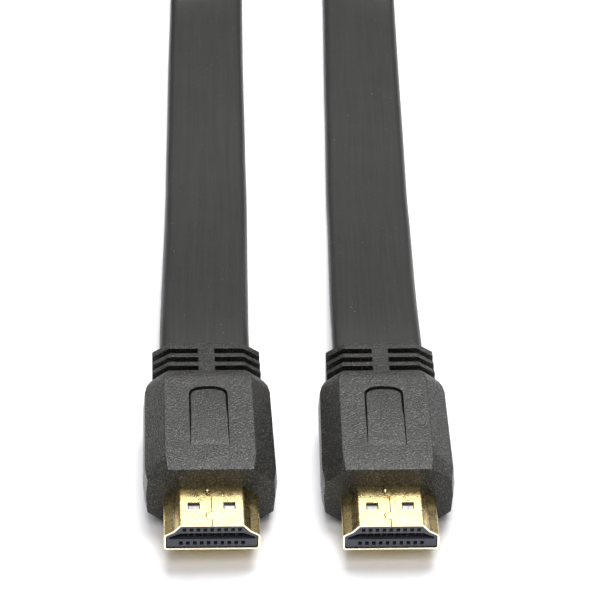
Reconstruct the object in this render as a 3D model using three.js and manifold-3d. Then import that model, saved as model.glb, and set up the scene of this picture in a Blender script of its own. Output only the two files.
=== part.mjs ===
// A flat audio-video cable with a gold-plated plug on each end.
// Millimetres, +Z up. The two plugs lie side by side on the table and point to -Y.
// The origin is on the table, midway between the two plugs.

import * as THREE from "three";
import * as BufferGeometryUtils from "three/addons/utils/BufferGeometryUtils.js";
import { ConvexGeometry } from "three/addons/geometries/ConvexGeometry.js";
import Module from "manifold-3d";

const wasm = await Module();
wasm.setup();

// Metal shell at the mouth of a plug
const shellWidth = 13.95;
const shellHeight = 4.45;
const shellWall = 0.27;
const shellExposed = 9.2;
const shellSeat = 3.0;
const shellBaseZ = 2.92;
const shellSideHeight = 2.6;
const shellKneeInset = 1.35;
const shellKneeHeight = 3.35;
const shellTopInset = 2.33;
const shellCornerRadius = 0.45;

// Latch windows, rolled seam and dimple in the top of the shell
const windowWidth = 1.8;
const windowLength = 1.75;
const windowSpacing = 5.2;
const windowFront = 3.7;
const seamGap = 0.14;
const seamKnob = 0.9;
const dimpleRadius = 0.42;
const dimpleDepth = 0.2;

// Insulator and the slot for the socket's tongue
const insulatorFit = 0.12;
const insulatorRecess = 0.2;
const slotBottom = 1.76;
const slotTop = 2.82;
const slotShoulder = 2.1;
const slotWidth = 12.5;
const slotTopWidth = 9.2;
const slotDepth = 8.0;

// Contacts: nine above the slot and ten below it
const contactPitch = 1.0;
const upperContacts = 9;
const lowerContacts = 10;
const contactWidth = 0.38;
const contactThickness = 0.2;
const contactFit = 0.08;
const contactTip = 0.75;
const contactBump = 0.32;
const grooveHeight = 0.64;
const upperGrooveBridge = 0.28;
const lowerGrooveBridge = 0.4;
const bridgeLength = 0.9;

// Moulded head of a plug, an eight-sided block whose sides swell a little at the parting line
const headLength = 25.9;
const headWidth = 19.45;
const headRearWidth = 19.25;
const headHeight = 11.0;
const headTopWidth = 13.4;
const headBevelHeight = 2.5;
const headSwell = 0.23;
const headFrontTaper = 3.3;
const headFrontWidth = 18.65;
const headFrontTopWidth = 12.66;
const headFrontDrop = 0.52;
const headFrontBevelHeight = 2.15;
const headFrontSwell = 0.22;
const headShoulder = 3.2;
const shellFit = 0.1;

// Thumb pocket in the top of the head
const pocketFront = 15.6;
const pocketRear = 30.1;
const pocketWidth = 5.9;
const pocketArch = 2.2;
const pocketDepth = 0.42;

// Strain relief behind the head, with slots that leave a spine and a core
const neckLength = 8.6;
const neckWidth = 16.9;
const neckRearWidth = 16.85;
const neckTopWidth = 12.0;
const neckRearTopWidth = 11.3;
const neckDrop = 0.85;
const neckRearDrop = 1.35;
const neckBevelHeight = 1.7;
const slotCount = 3;
const reliefSlot = 1.4;
const reliefPitch = 2.58;
const reliefRim = 1.65;
const reliefDepth = 1.9;
const spineWidth = 2.65;

// Flat cable
const cableWidth = 14.35;
const cableThickness = 2.9;
const cableGap = 0.3;
const cableStep = 12;

// Coil of the spare cable, standing on its edge
const coilX = -50.9;
const coilY = 234.5;
const coilOuterRadius = 60.0;
const coilBoreRadius = 44.2;
const coilMiddleRadius = 23.0;

// Where the plugs lie
const plugSpacing = 26.05;
const plugPairShift = 0.57;
const leftForward = 0.22;
const leftYaw = 2.95;
const leftRoll = 1.6;
const rightYaw = 1.0;

// Routes of the two free stretches: x, y, lift above the table, twist in degrees
const leftRoute = [
  [-14.7, 21.9, 3.85, 0],
  [-15.1, 32, 3.5, 0],
  [-15.4, 44, 2.5, 0],
  [-15.7, 56, 1.4, 0],
  [-15.95, 68, 0.6, 0],
  [-16.25, 80, 0.15, 0],
  [-16.65, 92, 0, 0],
  [-17.05, 106, 0, 0],
  [-17.5, 120, 0, 0],
  [-17.9, 134, 0, 0],
  [-18.2, 147, 0, 0],
  [-18.4, 157, 0, 4],
  [-18.3, 166, 0, 20],
  [-17.0, 174, 0, 40],
  [-14.3, 182, 0, 60],
  [-10.4, 190, 0, 76],
  [-6.05, 198, 0, 86],
];
const rightRoute = [
  [12.83, 22.1, 3.85, 0],
  [12.6, 32, 3.5, 0],
  [12.4, 44, 2.5, 0],
  [12.35, 56, 1.4, 0],
  [12.3, 68, 0.6, 0],
  [12.15, 80, 0.15, 0],
  [12.15, 92, 0, 0],
  [12.15, 106, 0, 0],
  [12.1, 120, 0, 0],
  [12.1, 134, 0, 0],
  [12.1, 147, 0, 0],
  [12.05, 158, 0, -4],
  [11.9, 167, 0, -18],
  [11.6, 176, 0, -38],
  [11.3, 185, 0, -58],
  [11.0, 194, 0, -75],
  [10.7, 203, 0, -86],
  [10.5, 213, 0, -90],
  [10.4, 225, 0, -90],
];

// Sizes that follow from the ones above
const shellRear = shellExposed + shellSeat - shellFit;
const headRear = shellExposed + headLength;
const plugLength = headRear + neckLength;
const shellTopZ = shellBaseZ + shellHeight;
const overcut = 1;

const bodyMaterial = { color: 0x2c2b29, roughness: 0.75, metalness: 0 };
const shellMaterial = { color: 0xd9b85c, roughness: 0.28, metalness: 1 };
const insulatorMaterial = { color: 0x454a5c, roughness: 0.5, metalness: 0 };
const contactMaterial = { color: 0xd8b04a, roughness: 0.3, metalness: 1 };
const cableMaterial = { color: 0x3e3e3a, roughness: 0.6, metalness: 0 };

// A closed geometry as a solid that can be cut and joined
function toSolid(geometry) {
  const bare = geometry.clone();
  bare.deleteAttribute("normal");
  bare.deleteAttribute("uv");
  const merged = BufferGeometryUtils.mergeVertices(bare, 1e-5);
  return new wasm.Manifold(new wasm.Mesh({
    numProp: 3,
    vertProperties: new Float32Array(merged.attributes.position.array),
    triVerts: new Uint32Array(merged.index.array),
  }));
}

function toGeometry(solid) {
  const mesh = solid.getMesh();
  const geometry = new THREE.BufferGeometry();
  geometry.setAttribute("position", new THREE.BufferAttribute(mesh.vertProperties, 3));
  geometry.setIndex(new THREE.BufferAttribute(mesh.triVerts, 1));
  return geometry;
}

function makeMesh(name, geometry, material) {
  const mesh = new THREE.Mesh(geometry, new THREE.MeshStandardMaterial(material));
  mesh.name = name;
  return mesh;
}

function box(x0, x1, y0, y1, z0, z1) {
  const geometry = new THREE.BoxGeometry(x1 - x0, y1 - y0, z1 - z0);
  return geometry.translate((x0 + x1) / 2, (y0 + y1) / 2, (z0 + z1) / 2);
}

// Extrudes a shape drawn in X and Z along Y
function extrudeAlongY(shape, y0, y1) {
  const settings = { depth: y1 - y0, bevelEnabled: false, curveSegments: 3 };
  return new THREE.ExtrudeGeometry(shape, settings).rotateX(Math.PI / 2).translate(0, y1, 0);
}

// Extrudes a shape drawn in Y and Z along X, centred on x
function extrudeAlongX(shape, x, width) {
  const turn = new THREE.Matrix4().makeBasis(
    new THREE.Vector3(0, 1, 0),
    new THREE.Vector3(0, 0, 1),
    new THREE.Vector3(1, 0, 0),
  );
  const geometry = new THREE.ExtrudeGeometry(shape, { depth: width, bevelEnabled: false });
  return geometry.applyMatrix4(turn).translate(x - width / 2, 0, 0);
}

// Moves every side of an anticlockwise outline inwards by the same distance
function insetOutline(points, inset) {
  const side = (i) => {
    const a = points[(i + points.length) % points.length];
    const b = points[(i + 1) % points.length];
    const along = b.clone().sub(a).normalize();
    return { start: a.clone().add(new THREE.Vector2(-along.y, along.x).multiplyScalar(inset)), along };
  };
  return points.map((point, i) => {
    const before = side(i - 1);
    const after = side(i);
    const step = after.start.clone().sub(before.start).cross(after.along)
      / before.along.cross(after.along);
    return before.start.clone().addScaledVector(before.along, step);
  });
}

// Traces an outline with its corners rounded
function roundedPath(path, points, radius) {
  const count = points.length;
  points.forEach((corner, i) => {
    const from = points[(i + count - 1) % count].clone().sub(corner).normalize();
    const to = points[(i + 1) % count].clone().sub(corner).normalize();
    const reach = radius / Math.tan(from.angleTo(to) / 2);
    const enter = corner.clone().addScaledVector(from, reach);
    const leave = corner.clone().addScaledVector(to, reach);
    if (i === 0) path.moveTo(enter.x, enter.y);
    else path.lineTo(enter.x, enter.y);
    path.quadraticCurveTo(corner.x, corner.y, leave.x, leave.y);
  });
  path.closePath();
  return path;
}

// Outline of the shell: a wide base, two sloping shoulders and a narrower top
function mouthOutline(inset) {
  const half = shellWidth / 2;
  const right = [
    [half, 0],
    [half, shellSideHeight],
    [half - shellKneeInset, shellKneeHeight],
    [half - shellTopInset, shellHeight],
  ];
  const left = right.map(([x, z]) => [-x, z]).reverse();
  const corners = [...right, ...left].map(([x, z]) => new THREE.Vector2(x, shellBaseZ + z));
  return insetOutline(corners, inset);
}

function mouthShape(inset) {
  return roundedPath(new THREE.Shape(), mouthOutline(inset), shellCornerRadius - inset / 2);
}

// Slit where the rolled shell meets itself, with a rounded knob that locks the two edges
function seamSlit() {
  const seamJog = windowFront - 0.6;
  const seamRear = shellExposed - 2.3;
  const line = [
    [0, -overcut],
    [0, seamJog - 1.7],
    [-seamKnob * 0.35, seamJog - 1.75],
    [-seamKnob * 0.85, seamJog - 1.35],
    [-seamKnob, seamJog - 0.75],
    [-seamKnob * 0.8, seamJog - 0.15],
    [0, seamJog],
    [0, seamRear],
    [-seamKnob * 0.8, seamRear + 0.3],
    [-seamKnob * 0.8, shellRear + overcut],
  ];
  const cuts = line.slice(1).map(([x1, y1], i) => {
    const [x0, y0] = line[i];
    const length = Math.hypot(x1 - x0, y1 - y0);
    const cut = new THREE.BoxGeometry(seamGap, length + seamGap, 2 * shellWall + overcut);
    cut.rotateZ(Math.atan2(x0 - x1, y1 - y0));
    return toSolid(cut.translate((x0 + x1) / 2, (y0 + y1) / 2, shellTopZ));
  });
  return cuts.reduce((whole, cut) => whole.add(cut));
}

function shellGeometry() {
  const shape = mouthShape(0);
  shape.holes.push(roundedPath(new THREE.Path(), mouthOutline(shellWall), shellCornerRadius - shellWall / 2));
  let solid = toSolid(extrudeAlongY(shape, 0, shellRear));
  for (const side of [-1, 1]) {
    const x = side * windowSpacing / 2;
    const cut = box(x - windowWidth / 2, x + windowWidth / 2, windowFront, windowFront + windowLength,
      shellTopZ - shellWall - overcut, shellTopZ + overcut);
    solid = solid.subtract(toSolid(cut));
  }
  solid = solid.subtract(seamSlit());
  const ballRadius = (dimpleRadius ** 2 + dimpleDepth ** 2) / (2 * dimpleDepth);
  const ball = new THREE.SphereGeometry(ballRadius, 24, 16);
  ball.translate(-seamKnob * 0.65, shellExposed - 1.1, shellTopZ + ballRadius - dimpleDepth);
  return toGeometry(solid.subtract(toSolid(ball)));
}

// The rows of contacts: where each one stands and which way its bump points
function contactRows() {
  const row = (count, face, bridge, towardsSlot) => ({
    xs: Array.from({ length: count }, (_, i) => (i - (count - 1) / 2) * contactPitch),
    face: shellBaseZ + face,
    bridge,
    towardsSlot,
  });
  return {
    upper: row(upperContacts, slotTop, upperGrooveBridge, -1),
    lower: row(lowerContacts, slotBottom, lowerGrooveBridge, 1),
  };
}

// One contact strip from the side: tip, bump into the slot, tail near the floor of its groove
function contactShape({ face, bridge, towardsSlot }) {
  const away = -towardsSlot;
  const grooveNear = face + away * bridge;
  const grooveFar = grooveNear + away * grooveHeight;
  const tipZ = grooveNear + away * contactFit;
  const tailZ = grooveFar - away * (contactFit + contactThickness);
  const apexZ = face + towardsSlot * contactBump;
  const near = [
    [contactTip, tipZ],
    [bridgeLength + contactFit, tipZ],
    [2.2, apexZ - towardsSlot * 0.06],
    [2.6, apexZ],
    [3.0, apexZ - towardsSlot * 0.06],
    [4.8, tailZ],
    [slotDepth - contactFit, tailZ],
  ];
  const far = near.map(([y, z]) => [y, z + away * contactThickness]).reverse();
  return new THREE.Shape([...near, ...far].map(([y, z]) => new THREE.Vector2(y, z)));
}

function insulatorGeometry(rows) {
  const body = extrudeAlongY(mouthShape(shellWall + insulatorFit), insulatorRecess, shellRear);
  let solid = toSolid(body);
  const slot = [
    [-slotWidth / 2, slotBottom],
    [slotWidth / 2, slotBottom],
    [slotWidth / 2, slotShoulder],
    [slotTopWidth / 2, slotTop],
    [-slotTopWidth / 2, slotTop],
    [-slotWidth / 2, slotShoulder],
  ];
  const slotOutline = new THREE.Shape(slot.map(([x, z]) => new THREE.Vector2(x, shellBaseZ + z)));
  solid = solid.subtract(toSolid(extrudeAlongY(slotOutline, -overcut, slotDepth)));
  const halfGroove = contactWidth / 2 + contactFit;
  for (const { xs, face, bridge, towardsSlot } of Object.values(rows)) {
    const near = face - towardsSlot * bridge;
    const far = near - towardsSlot * grooveHeight;
    const mid = face + towardsSlot * 0.1;
    for (const x of xs) {
      const hole = box(x - halfGroove, x + halfGroove, -overcut, slotDepth,
        Math.min(near, far), Math.max(near, far));
      const opening = box(x - halfGroove, x + halfGroove, bridgeLength, slotDepth,
        Math.min(far, mid), Math.max(far, mid));
      solid = solid.subtract(toSolid(hole)).subtract(toSolid(opening));
    }
  }
  return toGeometry(solid);
}

// The corners of one slice through the moulded body, with its sides swelling at half height
function slice(y, width, topWidth, drop, bevelHeight, swell = 0) {
  const half = width / 2;
  const flat = topWidth / 2;
  const corners = [[flat, drop], [half, drop + bevelHeight], [half + swell, headHeight / 2]];
  return corners.flatMap(([x, depth]) => [
    new THREE.Vector3(x, y, depth),
    new THREE.Vector3(-x, y, depth),
    new THREE.Vector3(x, y, headHeight - depth),
    new THREE.Vector3(-x, y, headHeight - depth),
  ]);
}

function headSolid() {
  const shoulder = (share, narrowing, drop) => slice(
    headRear - headShoulder * (1 - share),
    THREE.MathUtils.lerp(headRearWidth, neckWidth, narrowing),
    THREE.MathUtils.lerp(headTopWidth, neckTopWidth, narrowing),
    neckDrop * drop,
    THREE.MathUtils.lerp(headBevelHeight, neckBevelHeight, narrowing),
    headSwell * (1 - narrowing),
  );
  return toSolid(new ConvexGeometry([
    ...slice(shellExposed, headFrontWidth, headFrontTopWidth, headFrontDrop, headFrontBevelHeight, headFrontSwell),
    ...slice(shellExposed + headFrontTaper, headWidth, headTopWidth, 0, headBevelHeight, headSwell),
    ...shoulder(0, 0, 0),
    ...shoulder(0.45, 0.22, 0.12),
    ...shoulder(0.8, 0.6, 0.5),
    ...shoulder(1, 1, 1),
  ]));
}

// Strain relief: a tapered block whose slots run round it and stop at the spine
function neckSolid() {
  const block = toSolid(new ConvexGeometry([
    ...slice(headRear - overcut, neckWidth, neckTopWidth, neckDrop, neckBevelHeight),
    ...slice(plugLength, neckRearWidth, neckRearTopWidth, neckRearDrop, neckBevelHeight),
  ]));
  const core = toSolid(new ConvexGeometry([headRear - 2 * overcut, plugLength + overcut].flatMap((y) =>
    slice(y, neckRearWidth - 2 * reliefDepth, neckRearTopWidth - reliefDepth,
      neckRearDrop + reliefDepth, neckBevelHeight))));
  const spine = toSolid(box(-spineWidth / 2, spineWidth / 2, headRear - overcut, plugLength, 0, headHeight));
  const kept = core.add(spine);
  let neck = block;
  for (let i = 0; i < slotCount; i += 1) {
    const rear = plugLength - reliefRim - i * reliefPitch;
    const cut = toSolid(box(-neckWidth, neckWidth, rear - reliefSlot, rear, -overcut, headHeight + overcut));
    neck = neck.subtract(cut.subtract(kept));
  }
  return neck;
}

// Thumb pocket: deepest at its arched rear end, and running out to nothing at the front
function pocketSolid() {
  const half = pocketWidth / 2;
  const length = pocketRear - pocketFront;
  const outline = new THREE.Shape();
  outline.moveTo(-half, 0);
  outline.lineTo(half, 0);
  outline.lineTo(half, length - pocketArch);
  outline.bezierCurveTo(half, length - pocketArch * 0.3, half * 0.65, length, 0, length);
  outline.bezierCurveTo(-half * 0.65, length, -half, length - pocketArch * 0.3, -half, length - pocketArch);
  const settings = { depth: headHeight, bevelEnabled: false, curveSegments: 8 };
  const cut = new THREE.ExtrudeGeometry(outline, settings);
  cut.rotateX(-Math.atan(pocketDepth / length));
  return toSolid(cut.translate(0, pocketFront, headHeight));
}

function bodyGeometry() {
  const socket = extrudeAlongY(mouthShape(-shellFit), shellExposed - overcut, shellExposed + shellSeat);
  const solid = headSolid().add(neckSolid()).subtract(toSolid(socket)).subtract(pocketSolid());
  return toGeometry(solid);
}

// One plug, with its own origin on the table below the middle of its mouth
function makePlug(side) {
  const plug = new THREE.Group();
  const rows = contactRows();
  plug.add(makeMesh(`${side}_plug_body`, bodyGeometry(), bodyMaterial));
  plug.add(makeMesh(`${side}_plug_shell`, shellGeometry(), shellMaterial));
  plug.add(makeMesh(`${side}_plug_insulator`, insulatorGeometry(rows), insulatorMaterial));
  for (const [rowName, row] of Object.entries(rows)) {
    row.xs.forEach((x, i) => {
      const strip = extrudeAlongX(contactShape(row), x, contactWidth);
      plug.add(makeMesh(`${side}_${rowName}_contact_${i + 1}`, strip, contactMaterial));
    });
  }
  return plug;
}

function placePlug(side, x, forward, yaw, roll) {
  const plug = makePlug(side);
  const turn = THREE.MathUtils.degToRad;
  const lift = headTopWidth / 2 * Math.sin(turn(roll));
  plug.position.set(x, -plugLength / 2 - forward, lift);
  plug.rotation.set(0, turn(roll), turn(yaw), "ZYX");
  return plug;
}

// Section of the flat cable, with half-round edges
function cableSection() {
  const radius = cableThickness / 2;
  const reach = cableWidth / 2 - radius;
  const section = new THREE.Shape();
  section.moveTo(-reach, -radius);
  section.lineTo(reach, -radius);
  section.absarc(reach, 0, radius, -Math.PI / 2, Math.PI / 2, false);
  section.lineTo(-reach, radius);
  section.absarc(-reach, 0, radius, Math.PI / 2, 3 * Math.PI / 2, false);
  return section;
}

// Height of the cable's middle when it rests on the table at a given twist
function restHeight(twist) {
  return cableWidth / 2 * Math.abs(Math.sin(twist)) + cableThickness / 2 * Math.abs(Math.cos(twist));
}

// Sweeps the flat section along a route of x, y, lift and twist
function cableAlong(route) {
  const curve = new THREE.CatmullRomCurve3(route.map(([x, y, lift]) => new THREE.Vector3(x, y, lift)));
  const steps = Math.round(curve.getLength() / cableStep);
  const settings = { depth: 1, steps, bevelEnabled: false, curveSegments: 5 };
  const geometry = new THREE.ExtrudeGeometry(cableSection(), settings);
  const position = geometry.attributes.position;
  const up = new THREE.Vector3(0, 0, 1);
  for (let i = 0; i < position.count; i += 1) {
    const share = Math.min(1, Math.max(0, position.getZ(i)));
    const t = curve.getUtoTmapping(share) * (route.length - 1);
    const before = Math.min(Math.floor(t), route.length - 2);
    const twist = THREE.MathUtils.degToRad(
      THREE.MathUtils.lerp(route[before][3], route[before + 1][3], t - before));
    const heading = curve.getTangentAt(share);
    const side = up.clone().cross(heading).normalize();
    const above = heading.clone().cross(side);
    const across = side.clone().multiplyScalar(Math.cos(twist)).addScaledVector(above, Math.sin(twist));
    const over = side.multiplyScalar(-Math.sin(twist)).addScaledVector(above, Math.cos(twist));
    const point = curve.getPointAt(share);
    point.z += restHeight(twist);
    point.addScaledVector(across, position.getX(i)).addScaledVector(over, position.getY(i));
    position.setXYZ(i, point.x, point.y, Math.max(0, point.z));
  }
  return toSolid(geometry);
}

// A ring round the upright axis of the coil
function coilRing(inner, outer, bottom, top) {
  const section = [[inner, bottom], [outer, bottom], [outer, top], [inner, top], [inner, bottom]];
  const profile = section.map(([r, z]) => new THREE.Vector2(r, z));
  const ring = new THREE.LatheGeometry(profile, 72).rotateX(Math.PI / 2);
  return ring.translate(coilX, coilY, 0);
}

// The cable crosses the middle of the coil in two half circles, one each way
function coilMiddle() {
  const route = [];
  const stepsPerHalf = 9;
  for (let i = -stepsPerHalf; i <= stepsPerHalf; i += 1) {
    const way = i < 0 ? -1 : 1;
    const angle = Math.PI * Math.abs(i) / stepsPerHalf;
    const x = coilMiddleRadius * (1 - Math.cos(angle));
    const y = coilMiddleRadius * Math.sin(angle);
    route.push([coilX + way * x, coilY + way * y, 0, 90]);
  }
  return cableAlong(route);
}

function makeCable() {
  const cable = new THREE.Group();
  const clear = toSolid(coilRing(coilBoreRadius - cableGap, coilOuterRadius + cableGap, -overcut, cableWidth + overcut));
  const pieces = {
    cable_left_run: cableAlong(leftRoute).subtract(clear),
    cable_right_run: cableAlong(rightRoute).subtract(clear),
    cable_coil_middle: coilMiddle().subtract(clear),
    cable_coil: toSolid(coilRing(coilBoreRadius, coilOuterRadius, 0, cableWidth)),
  };
  for (const [name, solid] of Object.entries(pieces)) {
    cable.add(makeMesh(name, toGeometry(solid), cableMaterial));
  }
  return cable;
}

const model = new THREE.Group();
model.add(placePlug("left", plugPairShift - plugSpacing / 2, leftForward, leftYaw, leftRoll));
model.add(placePlug("right", plugPairShift + plugSpacing / 2, 0, rightYaw, 0));
model.add(makeCable());

export default model;
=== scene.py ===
"""Dresses a flat video cable: two moulded plugs side by side and one flat lead, wound up behind them.

Everything is in metres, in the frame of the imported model. Plug sizes below are in the plug's own frame:
its origin is on the table under the middle of the mouth, Y runs back along the plug and Z is up.
"""

import math

import bmesh
import bpy
from bpy.props import FloatProperty, FloatVectorProperty, PointerProperty
from mathutils import Matrix, Vector, geometry


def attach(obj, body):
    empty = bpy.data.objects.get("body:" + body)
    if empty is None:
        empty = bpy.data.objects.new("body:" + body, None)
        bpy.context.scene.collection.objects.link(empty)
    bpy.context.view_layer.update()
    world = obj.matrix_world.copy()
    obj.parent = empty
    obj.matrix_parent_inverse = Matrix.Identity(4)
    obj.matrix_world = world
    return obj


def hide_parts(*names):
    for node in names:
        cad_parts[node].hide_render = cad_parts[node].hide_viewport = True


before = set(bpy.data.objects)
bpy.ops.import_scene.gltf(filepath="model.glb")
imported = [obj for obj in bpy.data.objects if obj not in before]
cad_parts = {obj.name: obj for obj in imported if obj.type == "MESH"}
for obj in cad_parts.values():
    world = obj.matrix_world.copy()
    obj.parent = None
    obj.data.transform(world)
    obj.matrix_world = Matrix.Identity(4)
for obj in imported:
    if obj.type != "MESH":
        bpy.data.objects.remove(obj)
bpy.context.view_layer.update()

bl_info = {
    "name": "Flat Video Cable",
    "version": (1, 0, 0),
    "blender": (4, 5, 0),
    "location": "View3D > Sidebar > Cable",
    "description": "Builds the finished plugs, the flat lead and a plain studio round them",
    "category": "Object",
}

MM = 0.001
UP = Vector((0, 0, 1))

# Where the two runs leave the plugs and how they turn on edge: x, y, lift (mm) and twist (degrees)
LEFT_RUN = [
    (-14.61, 20.1, 3.85, 0),
    (-14.7, 21.9, 3.85, 0),
    (-15.1, 32, 3.5, 0),
    (-15.4, 44, 2.5, 0),
    (-15.7, 56, 1.4, 0),
    (-15.95, 68, 0.6, 0),
    (-16.25, 80, 0.15, 0),
    (-16.65, 92, 0, 0),
    (-17.05, 106, 0, 0),
    (-17.5, 120, 0, 0),
    (-17.9, 134, 0, 0),
    (-18.2, 147, 0, 0),
    (-18.4, 157, 0, 4),
    (-18.3, 166, 0, 20),
    (-17.0, 174, 0, 40),
    (-14.3, 182, 0, 60),
    (-10.4, 190, 0, 76),
    (-6.05, 198, 0, 86),
]
RIGHT_RUN = [
    (12.86, 20.3, 3.85, 0),
    (12.83, 22.1, 3.85, 0),
    (12.6, 32, 3.5, 0),
    (12.4, 44, 2.5, 0),
    (12.35, 56, 1.4, 0),
    (12.3, 68, 0.6, 0),
    (12.15, 80, 0.15, 0),
    (12.15, 92, 0, 0),
    (12.15, 106, 0, 0),
    (12.1, 120, 0, 0),
    (12.1, 134, 0, 0),
    (12.1, 147, 0, 0),
    (12.05, 158, 0, -4),
    (11.9, 167, 0, -18),
    (11.6, 176, 0, -38),
    (11.3, 185, 0, -58),
    (11.0, 194, 0, -75),
    (10.7, 203, 0, -86),
    (10.5, 213, 0, -90),
    (10.4, 225, 0, -90),
]

# Turns of each half of the lead round the coil, from its middle outwards
LEFT_ARM_DEGREES = 390
RIGHT_ARM_DEGREES = 540

SHELL_EXPOSED = 9.2
SHELL_TOP = 7.37
HEAD_REAR = 35.1
PLUG_LENGTH = 43.7


def millimetres(name, default, description, low=0.0):
    """A length that the user can change, given in millimetres and kept in metres."""
    return FloatProperty(
        name=name, description=description, default=default * MM, min=low, unit="LENGTH", subtype="DISTANCE"
    )


def colour(name, default, description):
    """A colour that the user can change."""
    return FloatVectorProperty(
        name=name, description=description, default=default, size=3, min=0, max=1, subtype="COLOR"
    )


class LeadSettings(bpy.types.PropertyGroup):
    """Sizes and colour of the flat lead and its coil."""

    width: millimetres("Width", 14.35, "Width of the flat lead")
    thickness: millimetres("Thickness", 2.9, "Thickness of the flat lead")
    lobe_depth: millimetres("Lobe depth", 0.07, "Height of the faint lobes over the conductors")
    exposed: millimetres("Length", 1400, "Length of lead between the two plugs")
    coil_radius: millimetres("Coil radius", 46.0, "Radius of the coil's innermost strand")
    strand_spacing: millimetres("Strand spacing", 5.1, "Distance between strands in the coil")
    coil_x: FloatProperty(
        name="Coil X", description="Middle of the coil", default=-50.9 * MM, unit="LENGTH", subtype="DISTANCE"
    )
    coil_y: millimetres("Coil Y", 234.5, "Middle of the coil")
    jacket: colour("Jacket", (0.018, 0.018, 0.0168), "Colour of the soft jacket")


class BodySettings(bpy.types.PropertyGroup):
    """Sizes and colours of the moulded plug bodies."""

    head_width: millimetres("Head width", 19.45, "Widest part of the head")
    head_rear_width: millimetres("Head rear width", 19.25, "Width where the rear shoulder starts")
    head_height: millimetres("Head height", 11.0, "Thickness of the head")
    head_top_width: millimetres("Top width", 13.4, "Width of the flat top of the head")
    front_width: millimetres("Front width", 18.65, "Width of the head's front face")
    neck_width: millimetres("Neck width", 16.9, "Width of the strain relief")
    side_swell: millimetres("Side swell", 0.23, "How far the sides swell out to the parting line")
    edge_radius: millimetres("Edge radius", 0.14, "Rounding of the moulded edges")
    pocket_depth: millimetres("Pocket depth", 0.62, "Depth of the thumb pocket at its arched end")
    plastic: colour("Plastic", (0.007, 0.007, 0.006), "Colour of the moulded plastic")
    # Painted highlight: the colour painted on the grains that glint.
    glint_paint: colour("Sparkle", (0.08, 0.078, 0.058), "Colour of the bright grains in its texture")


class MetalSettings(bpy.types.PropertyGroup):
    """Colours of the plated shell, the contacts and the insulator."""

    gold: colour("Gold", (0.95, 0.76, 0.36), "Colour of the plated shell")
    tarnish: colour("Tarnish", (0.45, 0.30, 0.13), "Colour of the darker patches on the plating")
    contact_gold: colour("Contact gold", (0.7, 0.52, 0.24), "Colour of the contacts")
    slate: colour("Insulator", (0.05, 0.055, 0.075), "Colour of the insulator in the mouth")
    rim_radius: millimetres("Rim radius", 0.13, "Rounding of the shell's front rim")
    seam_radius: millimetres("Seam radius", 0.11, "Rounding of the edges of the seam and the latch windows")


class StudioSettings(bpy.types.PropertyGroup):
    """Camera, floor and lights."""

    focal_length: FloatProperty(name="Focal length", description="Lens of the camera", default=162, min=10)
    camera_pitch: FloatProperty(
        name="Pitch", description="Angle of the camera below the horizon", default=math.radians(33.02), subtype="ANGLE"
    )
    camera_place: FloatVectorProperty(
        name="Camera", description="Place of the camera", default=(0.000385, -0.33076, 0.24688), subtype="XYZ"
    )
    floor: colour("Floor", (0.93, 0.925, 0.94), "Colour of the floor")
    overhead_power: FloatProperty(
        name="Overhead power", description="Power of the soft light overhead", default=9.0, unit="POWER"
    )
    panel_power: FloatProperty(
        name="Panel power", description="Power of the wide panel behind", default=3.0, unit="POWER"
    )
    fill_power: FloatProperty(name="Fill power", description="Power of the front light", default=4.2, unit="POWER")
    sky: FloatProperty(name="Sky", description="Strength of the even light from all round", default=0.2)


class CableSettings(bpy.types.PropertyGroup):
    """All the settings of the cable."""

    lead: PointerProperty(type=LeadSettings)
    body: PointerProperty(type=BodySettings)
    metal: PointerProperty(type=MetalSettings)
    studio: PointerProperty(type=StudioSettings)


# Materials


def add_node(tree, kind, inputs=None, **settings):
    """Adds a node, sets it up and wires or fills its inputs."""
    node = tree.nodes.new(kind)
    for name, value in settings.items():
        setattr(node, name, value)
    for name, value in (inputs or {}).items():
        if isinstance(value, bpy.types.NodeSocket):
            tree.links.new(value, node.inputs[name])
        else:
            node.inputs[name].default_value = value
    return node


def start_material(name, **shader):
    """A material with an empty tree but for its shader; returns the material, its tree and the shader."""
    material = bpy.data.materials.new(name)
    material.use_nodes = True
    tree = material.node_tree
    tree.nodes.clear()
    surface = add_node(tree, "ShaderNodeBsdfPrincipled", shader)
    add_node(tree, "ShaderNodeOutputMaterial", {"Surface": surface.outputs["BSDF"]})
    return material, tree, surface


def place_on_piece(tree, scale=(1, 1, 1)):
    """Object coordinates, stretched by a mapping where a pattern has a direction."""
    coordinates = add_node(tree, "ShaderNodeTexCoord")
    mapping = add_node(
        tree, "ShaderNodeMapping", {"Vector": coordinates.outputs["Object"], "Scale": scale}
    )
    return mapping.outputs["Vector"]


def noise(tree, vector, grain, detail=2.0, roughness=0.5):
    """A noise whose features are about the given grain across, in metres."""
    node = add_node(
        tree,
        "ShaderNodeTexNoise",
        {"Vector": vector, "Scale": 1 / grain, "Detail": detail, "Roughness": roughness},
    )
    return node.outputs["Fac"]


def spread(tree, value, low, high, to_low=0.0, to_high=1.0):
    """Maps a range of a pattern onto another range, and stops at its ends."""
    node = add_node(
        tree,
        "ShaderNodeMapRange",
        {"Value": value, "From Min": low, "From Max": high, "To Min": to_low, "To Max": to_high},
    )
    return node.outputs["Result"]


def blend(tree, share, first, second):
    """Mixes two colours by a share."""
    node = add_node(tree, "ShaderNodeMix", data_type="RGBA")
    for socket, value in ((node.inputs[0], share), (node.inputs[6], first), (node.inputs[7], second)):
        if isinstance(value, bpy.types.NodeSocket):
            tree.links.new(value, socket)
        else:
            socket.default_value = (*value, 1) if len(value) == 3 else value
    return node.outputs[2]


def bump(tree, height, distance, strength=1.0, under=None):
    """Raises the surface by a pattern, over another bump where there is one."""
    inputs = {"Height": height, "Distance": distance, "Strength": strength}
    if under is not None:
        inputs["Normal"] = under
    return add_node(tree, "ShaderNodeBump", inputs).outputs["Normal"]


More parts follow.
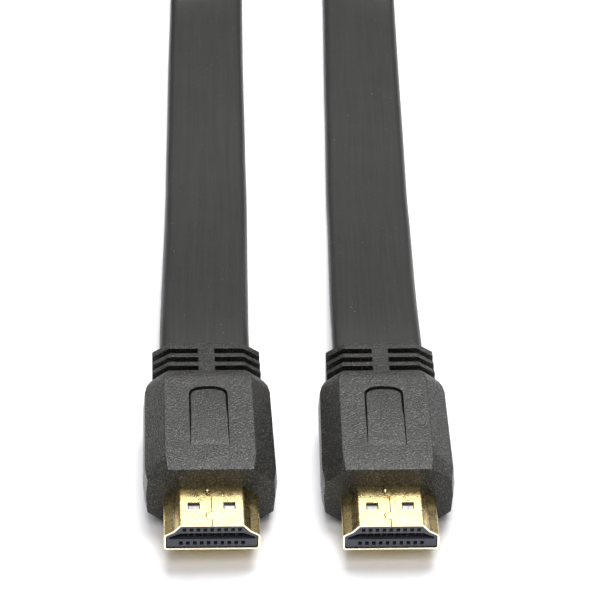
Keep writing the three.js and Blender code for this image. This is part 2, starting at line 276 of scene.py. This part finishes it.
def connect(tree, surface, **wires):
    """Wires patterns into the shader, by the names of its inputs with underscores for spaces."""
    for name, value in wires.items():
        tree.links.new(value, surface.inputs[name.replace("_", " ")])


def eroded_plastic(settings, name, shade):
    """Black plastic out of a spark-eroded mould: coarse grains with painted glints, and painted shade in the pits
    between them.
    """
    material, tree, surface = start_material(name, **{"Roughness": 0.45, "Specular IOR Level": 0.5 * shade})
    at = place_on_piece(tree)
    grain = noise(tree, at, 0.00026, 1.5, 0.6)
    coarse = noise(tree, at, 0.0008, 2.0)
    cloud = noise(tree, at, 0.003, 2.0)
    glint = spread(tree, grain, 0.53, 0.65)
    # Painted shade: the plastic at a quarter, painted as the pits between the grains.
    pit_shade = tuple(0.25 * c for c in settings.plastic)
    base = blend(tree, spread(tree, coarse, 0.35, 0.6), pit_shade, settings.plastic)
    # Painted highlight: the glint colour, scaled by shade, painted on the glinting grains.
    bright = tuple(shade * c for c in settings.glint_paint)
    soft = tuple(0.55 * c for c in bright)
    colours = blend(tree, glint, base, blend(tree, spread(tree, cloud, 0.3, 0.7), soft, bright))
    normal = bump(tree, grain, 0.00015, 1.0)
    connect(tree, surface, Base_Color=colours, Normal=normal, Roughness=spread(tree, grain, 0.42, 0.62, 0.46, 0.28))
    return material


def plated_gold(settings, name, roughness, least, most):
    """Thin gold plating over drawn steel sheet: mottled patches, fine specks, and dark streaks from least to most
    share that are painted light: painted dark reflection stripes on the sides and painted shade on the seam edges.
    """
    material, tree, surface = start_material(name, Metallic=1.0, Roughness=roughness)
    at = place_on_piece(tree)
    patches = noise(tree, at, 0.0012, 3.0, 0.6)
    specks = noise(tree, at, 0.00022, 2.0, 0.6)
    drawn = noise(tree, place_on_piece(tree, (1, 0.06, 1)), 0.0009, 2.0, 0.6)
    colours = blend(tree, spread(tree, patches, 0.45, 0.75, 0.0, 0.5), settings.gold, settings.tarnish)
    colours = blend(tree, spread(tree, specks, 0.5, 0.64, 0.0, 0.75), colours, (0.4, 0.29, 0.1))
    # Painted reflection and painted shade: dark streaks, from least to most share.
    colours = blend(tree, spread(tree, drawn, 0.48, 0.6, least, most), colours, (0.1, 0.065, 0.02))
    normal = bump(tree, specks, 0.00005, 0.8)
    normal = bump(tree, patches, 0.00006, 0.4, normal)
    connect(
        tree,
        surface,
        Base_Color=colours,
        Normal=normal,
        Roughness=spread(tree, patches, 0.3, 0.7, roughness - 0.06, roughness + 0.12),
    )
    return material


def rim_highlight_gold(settings):
    """The cut and tumbled front rim of the shell, paler than its sides as a painted highlight."""
    material, tree, surface = start_material("rim_highlight_gold", Metallic=1.0, Roughness=0.2)
    at = place_on_piece(tree)
    wear = noise(tree, at, 0.0006, 2.0)
    # Painted highlight: both tones are paler than the plating.
    colours = blend(tree, spread(tree, wear, 0.35, 0.7), (1.0, 0.95, 0.8), (0.98, 0.86, 0.56))
    connect(tree, surface, Base_Color=colours, Normal=bump(tree, wear, 0.00003, 0.4))
    return material


def slate_plastic(settings):
    """Hard plastic of the insulator, slightly glossy."""
    material, tree, surface = start_material("slate_insulator", Roughness=0.4)
    at = place_on_piece(tree)
    grain = noise(tree, at, 0.0002, 2.0)
    cloud = noise(tree, at, 0.0015, 2.0)
    colours = blend(tree, spread(tree, cloud, 0.3, 0.7), tuple(0.8 * c for c in settings.slate), settings.slate)
    connect(tree, surface, Base_Color=colours, Normal=bump(tree, grain, 0.00003, 0.5))
    return material


def leaf_steel():
    """Bare spring steel behind the latch windows."""
    material, tree, surface = start_material("leaf_steel", Metallic=1.0, Roughness=0.35)
    drawn = noise(tree, place_on_piece(tree, (1, 0.2, 1)), 0.0003, 2.0)
    colours = blend(tree, spread(tree, drawn, 0.3, 0.7), (0.3, 0.29, 0.28), (0.45, 0.44, 0.43))
    connect(tree, surface, Base_Color=colours, Roughness=spread(tree, drawn, 0.3, 0.7, 0.28, 0.45))
    return material


def contact_gold(settings):
    """Brighter, warmer plating of the spring contacts."""
    material, tree, surface = start_material("contact_gold", Metallic=1.0, Roughness=0.25)
    at = place_on_piece(tree, (1, 0.3, 1))
    wear = noise(tree, at, 0.0003, 2.0)
    colours = blend(tree, spread(tree, wear, 0.3, 0.7), settings.contact_gold, tuple(0.7 * c for c in settings.contact_gold))
    connect(tree, surface, Base_Color=colours, Roughness=spread(tree, wear, 0.3, 0.7, 0.2, 0.35))
    return material


def jacket_plastic(settings):
    """Soft matt jacket of the lead: fine lengthwise lines, a leathery grain and a little dust."""
    material, tree, surface = start_material("soft_jacket", **{"Roughness": 0.42, "Specular IOR Level": 0.28})
    place = add_node(tree, "ShaderNodeAttribute", attribute_name="lead_place").outputs["Vector"]
    lengthwise = add_node(tree, "ShaderNodeMapping", {"Vector": place, "Scale": (1, 1, 0.02)}).outputs["Vector"]
    lines = noise(tree, lengthwise, 0.0005, 3.0, 0.6)
    grain = noise(tree, place, 0.00022, 2.0)
    cloud = noise(tree, place, 0.006, 3.0)
    dust = noise(tree, place, 0.0005, 1.0)
    colours = blend(tree, spread(tree, cloud, 0.3, 0.7), tuple(0.8 * c for c in settings.jacket), settings.jacket)
    colours = blend(tree, spread(tree, lines, 0.35, 0.75, 0.0, 0.6), colours, tuple(1.5 * c for c in settings.jacket))
    colours = blend(tree, spread(tree, dust, 0.76, 0.8, 0.0, 0.5), colours, (0.3, 0.3, 0.28))
    normal = bump(tree, lines, 0.00006, 0.6)
    normal = bump(tree, grain, 0.00004, 0.6, normal)
    connect(
        tree,
        surface,
        Base_Color=colours,
        Normal=normal,
        Roughness=spread(tree, grain, 0.3, 0.7, 0.48, 0.36),
    )
    return material


def pale_floor(settings):
    """Even white table top."""
    material, tree, surface = start_material("pale_floor", **{"Roughness": 0.75, "Specular IOR Level": 0.2})
    cloud = noise(tree, place_on_piece(tree), 0.05, 2.0)
    colours = blend(tree, cloud, settings.floor, tuple(0.99 * c for c in settings.floor))
    connect(tree, surface, Base_Color=colours)
    return material


# Shapes


def make_piece(name, bm, materials, cad_nodes):
    """Turns a finished bmesh into a piece that rides on the part and stands for its CAD nodes."""
    for edge in bm.edges:
        edge.smooth = edge.calc_face_angle(0) < math.radians(36)
    mesh = bpy.data.meshes.new(name)
    for face in bm.faces:
        face.smooth = True
    bm.to_mesh(mesh)
    bm.free()
    piece = bpy.data.objects.new(name, mesh)
    bpy.context.scene.collection.objects.link(piece)
    for material in materials:
        mesh.materials.append(material)
    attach(piece, "root")
    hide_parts(*cad_nodes)
    return piece


def even_facets(piece):
    """Lets the large flat faces of a piece set the shading of the narrow ones beside them."""
    piece.modifiers.new("even_facets", "WEIGHTED_NORMAL").keep_sharp = True


def plug_places():
    """Where the plugs stand: from a plug's own frame in millimetres to the part's frame in metres."""
    head_top = 13.4

    def place(x, forward, yaw, roll):
        lift = head_top / 2 * math.sin(math.radians(roll))
        return (
            Matrix.Scale(MM, 4)
            @ Matrix.Translation((x, -PLUG_LENGTH / 2 - forward, lift))
            @ Matrix.Rotation(math.radians(yaw), 4, "Z")
            @ Matrix.Rotation(math.radians(roll), 4, "Y")
        )

    return {"left": place(-12.455, 0.22, 2.95, 1.6), "right": place(13.595, 0, 1.0, 0)}


def slice_ring(bm, y, width, top_width, drop, knee, height, swell=0.0):
    """One slice across a moulded body, as a loop of edges; its sides swell at half height."""
    half, flat = width / 2, top_width / 2
    corners = [(flat, drop), (half, drop + knee), (half + swell, height / 2)]
    corners += [(half, height - drop - knee), (flat, height - drop)]
    corners += [(-x, z) for x, z in reversed(corners)]
    verts = [bm.verts.new((x, y, z)) for x, z in corners]
    return [bm.edges.new(pair) for pair in zip(verts, verts[1:] + verts[:1])]


def loft(bm, rings):
    """Joins a row of edge loops into one closed solid and returns its faces."""
    before = set(bm.faces)
    for near, far in zip(rings, rings[1:]):
        bmesh.ops.bridge_loops(bm, edges=near + far)
    for end in (rings[0], rings[-1]):
        bmesh.ops.edgeloop_fill(bm, edges=end)
    faces = [face for face in bm.faces if face not in before]
    bmesh.ops.recalc_face_normals(bm, faces=faces)
    return faces


def round_edges(bm, faces, radius, sharper_than, segments=3):
    """Rounds the edges of a solid that turn by more than an angle, in degrees."""
    edges = {edge for face in faces for edge in face.edges}
    sharp = [edge for edge in edges if edge.calc_face_angle(0) > math.radians(sharper_than)]
    bmesh.ops.bevel(
        bm,
        geom=sharp,
        offset=radius,
        offset_type="OFFSET",
        affect="EDGES",
        segments=segments,
        profile=0.5,
        material=-1,
        clamp_overlap=True,
    )


def head_mesh(settings):
    """The eight-sided head, in millimetres: a tapered front band, a long grip and a rear shoulder."""
    height = settings.head_height / MM
    width, top = settings.head_width / MM, settings.head_top_width / MM
    rear, neck = settings.head_rear_width / MM, settings.neck_width / MM
    swell = settings.side_swell / MM
    slices = [
        (SHELL_EXPOSED, settings.front_width / MM, 12.66, 0.52, 2.15, height, swell - 0.01),
        (12.5, width, top, 0, 2.5, height, swell),
    ]
    for share, narrowing, drop in ((0, 0, 0), (0.45, 0.22, 0.12), (0.8, 0.6, 0.5), (1, 1, 1)):
        slices.append(
            (
                HEAD_REAR - 3.2 * (1 - share),
                rear + (neck - rear) * narrowing,
                top + (12.0 - top) * narrowing,
                0.85 * drop,
                2.5 + (1.7 - 2.5) * narrowing,
                height,
                swell * (1 - narrowing),
            )
        )
    bm = bmesh.new()
    faces = loft(bm, [slice_ring(bm, *values) for values in slices])
    round_edges(bm, faces, settings.edge_radius / MM, 25)
    mesh = bpy.data.meshes.new("head_blank")
    bm.to_mesh(mesh)
    bm.free()
    return mesh


def pocket_mesh(settings):
    """Cutter for the thumb pocket, in millimetres: deepest at its arched rear, with drafted sides."""
    half, front, length, arch = 2.85, 15.1, 14.8, 2.1
    draft, tall, front_depth, groove = 1.15, 2.0, 0.32, 0.24
    depth = settings.pocket_depth / MM
    right = geometry.interpolate_bezier(
        Vector((half, length - arch, 0)),
        Vector((half, length - 0.3 * arch, 0)),
        Vector((0.65 * half, length, 0)),
        Vector((0, length, 0)),
        12,
    )
    outline = [Vector((-half, 0, 0)), Vector((half, 0, 0)), *right]
    outline += [Vector((-p.x, p.y, 0)) for p in reversed(right[:-1])]
    bm = bmesh.new()
    floor = bm.faces.new([bm.verts.new(p) for p in outline])
    grown = bmesh.ops.extrude_face_region(bm, geom=[floor], use_keep_orig=True)
    lifted = [item for item in grown["geom"] if isinstance(item, bmesh.types.BMVert)]
    front_edge = [vert for vert in floor.verts if vert.co.y == 0]
    bmesh.ops.inset_region(bm, faces=[floor], thickness=groove, depth=0)
    bmesh.ops.translate(bm, verts=floor.verts[:], vec=(0, 0, groove))
    bmesh.ops.translate(bm, verts=front_edge, vec=(0, 0, groove + front_depth))
    inner_front = [vert for vert in floor.verts if vert.co.y < 1]
    bmesh.ops.translate(bm, verts=inner_front, vec=(0, 3, 0))
    bmesh.ops.translate(bm, verts=lifted, vec=(0, 0, tall))
    bmesh.ops.scale(
        bm, verts=lifted, vec=(draft, draft, 1), space=Matrix.Translation((0, -length - 0.6, 0))
    )
    bmesh.ops.recalc_face_normals(bm, faces=bm.faces[:])
    tilt = Matrix.Rotation(-math.atan((depth - front_depth) / length), 4, "X")
    bm.transform(Matrix.Translation((0, front, settings.head_height / MM - front_depth)) @ tilt)
    mesh = bpy.data.meshes.new("pocket_cutter")
    bm.to_mesh(mesh)
    bm.free()
    return mesh


def cut_mesh(blank, cutter):
    """The blank with the cutter's shape taken out; both meshes are used up."""
    pair = []
    for mesh in (blank, cutter):
        item = bpy.data.objects.new(mesh.name, mesh)
        bpy.context.scene.collection.objects.link(item)
        pair.append(item)
    work, tool = pair
    work.modifiers.new("cut", "BOOLEAN").object = tool
    result = bpy.data.meshes.new_from_object(work.evaluated_get(bpy.context.evaluated_depsgraph_get()))
    for item, mesh in zip(pair, (blank, cutter)):
        bpy.data.objects.remove(item)
        bpy.data.meshes.remove(mesh)
    return result


def neck_solids(bm, settings):
    """The strain relief, in millimetres: a core, a spine and four ribs with gaps between them."""
    height, front = settings.head_height / MM, HEAD_REAR - 0.5
    length = PLUG_LENGTH - HEAD_REAR

    def share(y):
        return max(0.0, (y - HEAD_REAR) / length)

    def rib(y0, y1):
        ring = [
            slice_ring(
                bm,
                y,
                settings.neck_width / MM - 0.05 * share(y),
                12.0 - 0.7 * share(y),
                0.85 + 0.5 * share(y),
                1.7,
                height,
            )
            for y in (y0, y1)
        ]
        round_edges(bm, loft(bm, ring), 0.12, 20, 2)

    for y0, y1 in ((front, 35.49), (36.89, 38.07), (39.47, 40.65), (42.05, PLUG_LENGTH)):
        rib(y0, y1)
    loft(bm, [slice_ring(bm, y, 12.9, 9.4, 3.25, 1.7, height) for y in (front, PLUG_LENGTH - 0.4)])
    spine = [
        slice_ring(bm, y, 2.65, 2.45, 0.85 + 0.5 * share(y), 0.1, height) for y in (front, PLUG_LENGTH - 0.1)
    ]
    loft(bm, spine)


def copy_node(node, place):
    """A merged copy of a CAD node's mesh in the plug's own frame, in millimetres."""
    bm = bmesh.new()
    bm.from_mesh(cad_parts[node].data)
    bm.transform(place.inverted())
    bmesh.ops.remove_doubles(bm, verts=bm.verts[:], dist=0.001)
    bmesh.ops.dissolve_limit(
        bm, angle_limit=math.radians(0.5), verts=bm.verts[:], edges=bm.edges[:], use_dissolve_boundaries=False
    )
    return bm


def round_openings(bm, axis, level, radius, segments):
    """Rounds the sharp edges that lie in one plane, across an axis, and returns the new faces."""
    rim = [
        edge
        for edge in bm.edges
        if all(abs(vert.co[axis] - level) < 0.01 for vert in edge.verts)
        and edge.calc_face_angle(0) > math.radians(60)
    ]
    made = bmesh.ops.bevel(
        bm,
        geom=rim,
        offset=radius,
        offset_type="OFFSET",
        affect="EDGES",
        segments=segments,
        profile=0.5,
        material=-1,
        clamp_overlap=True,
    )
    return made["faces"]


def window_leaves(bm):
    """The thin steel leaves that show through the latch windows of a shell, in millimetres."""
    leaves = []
    for side in (-1, 1):
        place = Matrix.Translation((side * 2.6, 4.3, 7.02)) @ Matrix.Diagonal((1.5, 1.2, 0.06, 1))
        leaves += bmesh.ops.create_cube(bm, size=1, matrix=place)["verts"]
    return {face for vert in leaves for face in vert.link_faces}


def lead_route(settings):
    """The whole lead from plug to plug: the left run, the coil from outside to middle and out again, the right run."""
    centre_x, centre_y = settings.coil_x / MM, settings.coil_y / MM
    inner, growth = settings.coil_radius / MM, 2 * settings.strand_spacing / MM

    def arm_point(start, progress):
        radius = inner + growth * progress / 360
        angle = math.radians(start - progress)
        return (centre_x + radius * math.cos(angle), centre_y + radius * math.sin(angle), 0, 90)

    def middle_point(way, angle):
        turn = math.radians(angle)
        return (
            centre_x + way * inner / 2 * (1 + math.cos(turn)),
            centre_y + way * inner / 2 * math.sin(turn),
            0,
            90,
        )

    step = 15
    inward = [arm_point(0, progress) for progress in range(LEFT_ARM_DEGREES, 0, -step)]
    first_half = [middle_point(1, angle) for angle in range(0, 180, 2 * step)]
    second_half = [middle_point(-1, angle) for angle in range(180, 0, -2 * step)]
    outward = [arm_point(180, progress) for progress in range(0, RIGHT_ARM_DEGREES + 1, step)]
    back = [(x, y, lift, -twist) for x, y, lift, twist in reversed(RIGHT_RUN)]
    return LEFT_RUN + inward + first_half + second_half + outward + back


def smooth_route(route, pieces=4):
    """Catmull-Rom points through a route whose points hold several values."""
    padded = [route[0], *route, route[-1]]
    points = []
    for a, b, c, d in zip(padded, padded[1:], padded[2:], padded[3:]):
        for i in range(pieces):
            t = i / pieces
            points.append(
                [
                    0.5 * (2 * q + (r - p) * t + (2 * p - 5 * q + 4 * r - s) * t**2 + (3 * q - p - 3 * r + s) * t**3)
                    for p, q, r, s in zip(a, b, c, d)
                ]
            )
    points.append(list(route[-1]))
    return points


def lead_frames(settings):
    """Frames along the lead, in metres: X across it, Y out of its top face and Z along it."""
    points = smooth_route(lead_route(settings))
    half_width, half_thickness = settings.width / 2, settings.thickness / 2
    centres = []
    for x, y, lift, twist in points:
        turn = math.radians(twist)
        rest = half_width * abs(math.sin(turn)) + half_thickness * abs(math.cos(turn))
        centres.append(Vector((x * MM, y * MM, rest + max(0, lift) * MM)))
    frames = []
    for i, (centre, point) in enumerate(zip(centres, points)):
        heading = (centres[min(i + 1, len(centres) - 1)] - centres[max(i - 1, 0)]).normalized()
        side = UP.cross(heading).normalized()
        above = heading.cross(side)
        turn = math.radians(point[3])
        across = side * math.cos(turn) + above * math.sin(turn)
        over = above * math.cos(turn) - side * math.sin(turn)
        frames.append(Matrix.Translation(centre) @ Matrix((across, over, heading)).transposed().to_4x4())
    return frames


def lead_section(bm, settings):
    """The lead's section as a loop of edges: half-round sides and faint lobes over the conductors."""
    radius = settings.thickness / 2
    reach = settings.width / 2 - radius
    lobes, steps, bends = 5, 20, 8
    top = []
    for i in range(steps + 1):
        x = reach * (1 - 2 * i / steps)
        dip = settings.lobe_depth * math.sin(math.pi * lobes * (x / reach + 1) / 2) ** 2
        top.append((x, radius - settings.lobe_depth + dip))
    bend = [
        (-reach - radius * math.sin(math.pi * i / bends), radius * math.cos(math.pi * i / bends))
        for i in range(1, bends)
    ]
    outline = top + bend + [(-x, -y) for x, y in top] + [(-x, -y) for x, y in bend]
    verts = [bm.verts.new((x, y, 0)) for x, y in outline]
    return [bm.edges.new(pair) for pair in zip(verts, verts[1:] + verts[:1])]


def sweep(bm, edges, frames, mark):
    """Drags a loop of edges along a row of frames, and marks each point with its place along the lead."""
    first = edges
    travelled = 0.0
    verts = {vert for edge in edges for vert in edge.verts}
    for vert in verts:
        vert[mark] = (vert.co.x, vert.co.y, 0)
    bmesh.ops.transform(bm, matrix=frames[0], verts=list(verts))
    for before, after in zip(frames, frames[1:]):
        travelled += (after.translation - before.translation).length
        grown = bmesh.ops.extrude_edge_only(bm, edges=edges)["geom"]
        verts = [item for item in grown if isinstance(item, bmesh.types.BMVert)]
        edges = [item for item in grown if isinstance(item, bmesh.types.BMEdge)]
        bmesh.ops.transform(bm, matrix=after @ before.inverted(), verts=verts)
        for vert in verts:
            vert[mark] = (vert[mark][0], vert[mark][1], travelled)
    for end in (first, edges):
        bmesh.ops.edgeloop_fill(bm, edges=end)
    bmesh.ops.recalc_face_normals(bm, faces=bm.faces[:])


# Operators


class CABLE_OT_set_camera(bpy.types.Operator):
    """Sets up the camera at the angle that both plugs are seen from"""

    bl_idname = "cable.set_camera"
    bl_label = "Set camera"

    def execute(self, context):
        studio = context.scene.flat_cable.studio
        lens = bpy.data.cameras.new("camera")
        lens.lens = studio.focal_length
        lens.sensor_width = 36
        lens.clip_start = 0.01
        camera = bpy.data.objects.new("camera", lens)
        camera.location = studio.camera_place
        camera.rotation_euler = (math.pi / 2 - studio.camera_pitch, 0, 0)
        context.scene.collection.objects.link(camera)
        context.scene.camera = camera
        return {"FINISHED"}


class CABLE_OT_lay_lead(bpy.types.Operator):
    """Lays the flat lead from one plug to the other, with its spare length wound up behind them"""

    bl_idname = "cable.lay_lead"
    bl_label = "Lay the lead"

    def execute(self, context):
        settings = context.scene.flat_cable.lead
        frames = lead_frames(settings)
        bm = bmesh.new()
        mark = bm.verts.layers.float_vector.new("lead_place")
        sweep(bm, lead_section(bm, settings), frames, mark)
        lead = make_piece(
            "flat_lead",
            bm,
            [jacket_plastic(settings)],
            ["cable_left_run", "cable_right_run", "cable_coil", "cable_coil_middle"],
        )
        return {"FINISHED"}


class CABLE_OT_mould_bodies(bpy.types.Operator):
    """Moulds the two plug bodies with their thumb pockets and ribbed strain reliefs"""

    bl_idname = "cable.mould_bodies"
    bl_label = "Mould the plug bodies"

    def execute(self, context):
        settings = context.scene.flat_cable.body
        head_finish = eroded_plastic(settings, "eroded_black_plastic", 1.0)
        # The neck's copy paints its glints at three quarters strength.
        neck_finish = eroded_plastic(settings, "neck_black_plastic", 0.75)
        for side, place in plug_places().items():
            head = cut_mesh(head_mesh(settings), pocket_mesh(settings))
            bm = bmesh.new()
            bm.from_mesh(head)
            bpy.data.meshes.remove(head)
            head_faces = set(bm.faces)
            for face in head_faces:
                face.material_index = 0
            neck_solids(bm, settings)
            for face in bm.faces:
                if face not in head_faces:
                    face.material_index = 1
            bm.transform(place)
            body = make_piece(
                f"{side}_moulded_body", bm, [head_finish, neck_finish], [f"{side}_plug_body"]
            )
            even_facets(body)
        return {"FINISHED"}


class CABLE_OT_plate_shells(bpy.types.Operator):
    """Finishes the rolled metal shells with a rounded front rim and gold plating"""

    bl_idname = "cable.plate_shells"
    bl_label = "Plate the shells"

    def execute(self, context):
        settings = context.scene.flat_cable.metal
        finishes = [
            plated_gold(settings, "shell_gold", 0.26, 0.0, 0.0),
            rim_highlight_gold(settings),
            plated_gold(settings, "side_reflection_gold", 0.24, 0.0, 0.6),
            plated_gold(settings, "seam_shade_gold", 0.3, 0.75, 0.95),
        ]
        for side, place in plug_places().items():
            node = f"{side}_plug_shell"
            bm = copy_node(node, place)
            for face in bm.faces:
                # The sides take the copy with painted dark reflection stripes.
                face.material_index = 2 if abs(face.normal.x) > 0.5 else 0
            # Painted highlight: the rim faces take the paler copy.
            for face in round_openings(bm, 1, 0, settings.rim_radius / MM, 3):
                face.material_index = 1
            for face in bm.faces:
                if all(abs(vert.co.y) < 0.01 for vert in face.verts):
                    face.material_index = 1
            # Painted shade: the rounded edges of the seam and the latch windows take the darkest streaked copy.
            for face in round_openings(bm, 2, SHELL_TOP, settings.seam_radius / MM, 2):
                face.material_index = 3
            bm.transform(place)
            shell = make_piece(f"{side}_gold_shell", bm, finishes, [node])
            even_facets(shell)
        return {"FINISHED"}


class CABLE_OT_fit_insulators(bpy.types.Operator):
    """Finishes the insulators in the mouths of the plugs"""

    bl_idname = "cable.fit_insulators"
    bl_label = "Fit the insulators"

    def execute(self, context):
        settings = context.scene.flat_cable.metal
        finish, leaf_finish = slate_plastic(settings), leaf_steel()
        for side, place in plug_places().items():
            node = f"{side}_plug_insulator"
            bm = copy_node(node, place)
            round_openings(bm, 1, 0.2, 0.06, 2)
            for face in bm.faces:
                face.material_index = 0
            for face in window_leaves(bm):
                face.material_index = 1
            bm.transform(place)
            insulator = make_piece(f"{side}_mouth_insulator", bm, [finish, leaf_finish], [node])
            even_facets(insulator)
        return {"FINISHED"}


class CABLE_OT_plate_contacts(bpy.types.Operator):
    """Gives the spring contacts their gold plating"""

    bl_idname = "cable.plate_contacts"
    bl_label = "Plate the contacts"

    def execute(self, context):
        finish = contact_gold(context.scene.flat_cable.metal)
        contacts = [node for name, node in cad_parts.items() if "_contact_" in name]
        if not contacts:
            raise RuntimeError("the frame holds no contacts")
        for node in contacts:
            for slot in node.material_slots:
                slot.material = finish
        return {"FINISHED"}


class CABLE_OT_set_studio(bpy.types.Operator):
    """Sets up a pale floor and soft light from above"""

    bl_idname = "cable.set_studio"
    bl_label = "Set floor and lights"

    def execute(self, context):
        studio = context.scene.flat_cable.studio
        bm = bmesh.new()
        bmesh.ops.create_grid(bm, x_segments=1, y_segments=1, size=1.5)
        mesh = bpy.data.meshes.new("floor")
        bm.to_mesh(mesh)
        bm.free()
        mesh.materials.append(pale_floor(studio))
        floor = bpy.data.objects.new("floor", mesh)
        context.scene.collection.objects.link(floor)

        lights = [
            ("overhead", (0.09, 0.33, 0.8), (0.55, 0.55), studio.overhead_power),
            ("back_panel", (0, 0.83, 0.86), (1.3, 0.5), studio.panel_power),
            ("front_fill", (-0.05, -0.5, 0.75), (0.6, 0.6), studio.fill_power),
        ]
        for name, place, size, power in lights:
            light = bpy.data.lights.new(name, "AREA")
            light.shape = "RECTANGLE"
            light.size, light.size_y = size
            light.energy = power
            lamp = bpy.data.objects.new(name, light)
            lamp.location = place
            lamp.rotation_euler = (-Vector(place)).to_track_quat("-Z", "Y").to_euler()
            context.scene.collection.objects.link(lamp)

        world = bpy.data.worlds.new("studio")
        world.use_nodes = True
        background = world.node_tree.nodes["Background"]
        background.inputs["Color"].default_value = (0.95, 0.95, 1.0, 1)
        background.inputs["Strength"].default_value = studio.sky
        context.scene.world = world
        context.scene.view_settings.view_transform = "Standard"
        return {"FINISHED"}


STEPS = (
    CABLE_OT_set_camera,
    CABLE_OT_lay_lead,
    CABLE_OT_mould_bodies,
    CABLE_OT_plate_shells,
    CABLE_OT_fit_insulators,
    CABLE_OT_plate_contacts,
    CABLE_OT_set_studio,
)


class CABLE_PT_builder(bpy.types.Panel):
    """Lists the steps that build the cable, and what can be changed"""

    bl_label = "Flat Video Cable"
    bl_idname = "CABLE_PT_builder"
    bl_space_type = "VIEW_3D"
    bl_region_type = "UI"
    bl_category = "Cable"

    def draw(self, context):
        settings = context.scene.flat_cable
        for title, group in (
            ("Lead", settings.lead),
            ("Bodies", settings.body),
            ("Metal and insulator", settings.metal),
            ("Studio", settings.studio),
        ):
            box = self.layout.box()
            box.label(text=title)
            for name in group.bl_rna.properties.keys():
                if name not in {"rna_type", "name"}:
                    box.prop(group, name)
        for step in STEPS:
            self.layout.operator(step.bl_idname)


CLASSES = (
    LeadSettings,
    BodySettings,
    MetalSettings,
    StudioSettings,
    CableSettings,
    *STEPS,
    CABLE_PT_builder,
)


def register():
    for cls in CLASSES:
        bpy.utils.register_class(cls)
    bpy.types.Scene.flat_cable = PointerProperty(type=CableSettings)


def unregister():
    del bpy.types.Scene.flat_cable
    for cls in reversed(CLASSES):
        bpy.utils.unregister_class(cls)


def main():
    """Builds the whole cable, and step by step."""
    register()
    for step in STEPS:
        group, name = step.bl_idname.split(".")
        getattr(getattr(bpy.ops, group), name)()


if __name__ == "__main__":
    main()
